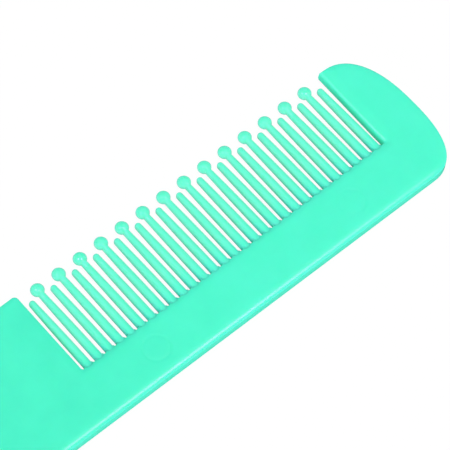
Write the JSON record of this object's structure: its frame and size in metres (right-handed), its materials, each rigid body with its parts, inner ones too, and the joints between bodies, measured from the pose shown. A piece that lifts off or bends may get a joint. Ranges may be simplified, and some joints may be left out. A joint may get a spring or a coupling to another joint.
{
  "type": "rat tail comb",
  "caption": "Flat moulded plastic comb with plain and ball-tipped teeth in turn, a rounded nose guard, a broad heel and a long tapering tail for parting hair.",
  "frame": {"origin": "middle of the underside of the comb's box, with the comb lying flat", "axes": "+X along the comb from the tail to the nose, +Y from the back edge to the tooth tips, +Z through its thickness"},
  "size_m": [0.2148, 0.0282, 0.0028],
  "materials": {
    "mint_plastic": "moulded, soft gloss, coloured right through"
  },
  "bodies": {
    "root": {"spine": "mint_plastic", "end_guard": "mint_plastic", "heel": "mint_plastic", "tail_neck": "mint_plastic", "tail": "mint_plastic", "plain_tooth_01": "mint_plastic", "plain_tooth_02": "mint_plastic", "plain_tooth_03": "mint_plastic", "plain_tooth_04": "mint_plastic", "plain_tooth_05": "mint_plastic", "plain_tooth_06": "mint_plastic", "plain_tooth_07": "mint_plastic", "plain_tooth_08": "mint_plastic", "plain_tooth_09": "mint_plastic", "plain_tooth_10": "mint_plastic", "plain_tooth_11": "mint_plastic", "plain_tooth_12": "mint_plastic", "plain_tooth_13": "mint_plastic", "plain_tooth_14": "mint_plastic", "plain_tooth_15": "mint_plastic", "ball_tooth_01": "mint_plastic", "ball_tooth_02": "mint_plastic", "ball_tooth_03": "mint_plastic", "ball_tooth_04": "mint_plastic", "ball_tooth_05": "mint_plastic", "ball_tooth_06": "mint_plastic", "ball_tooth_07": "mint_plastic", "ball_tooth_08": "mint_plastic", "ball_tooth_09": "mint_plastic", "ball_tooth_10": "mint_plastic", "ball_tooth_11": "mint_plastic", "ball_tooth_12": "mint_plastic", "ball_tooth_13": "mint_plastic", "ball_tooth_14": "mint_plastic"}
  },
  "joints": []
}
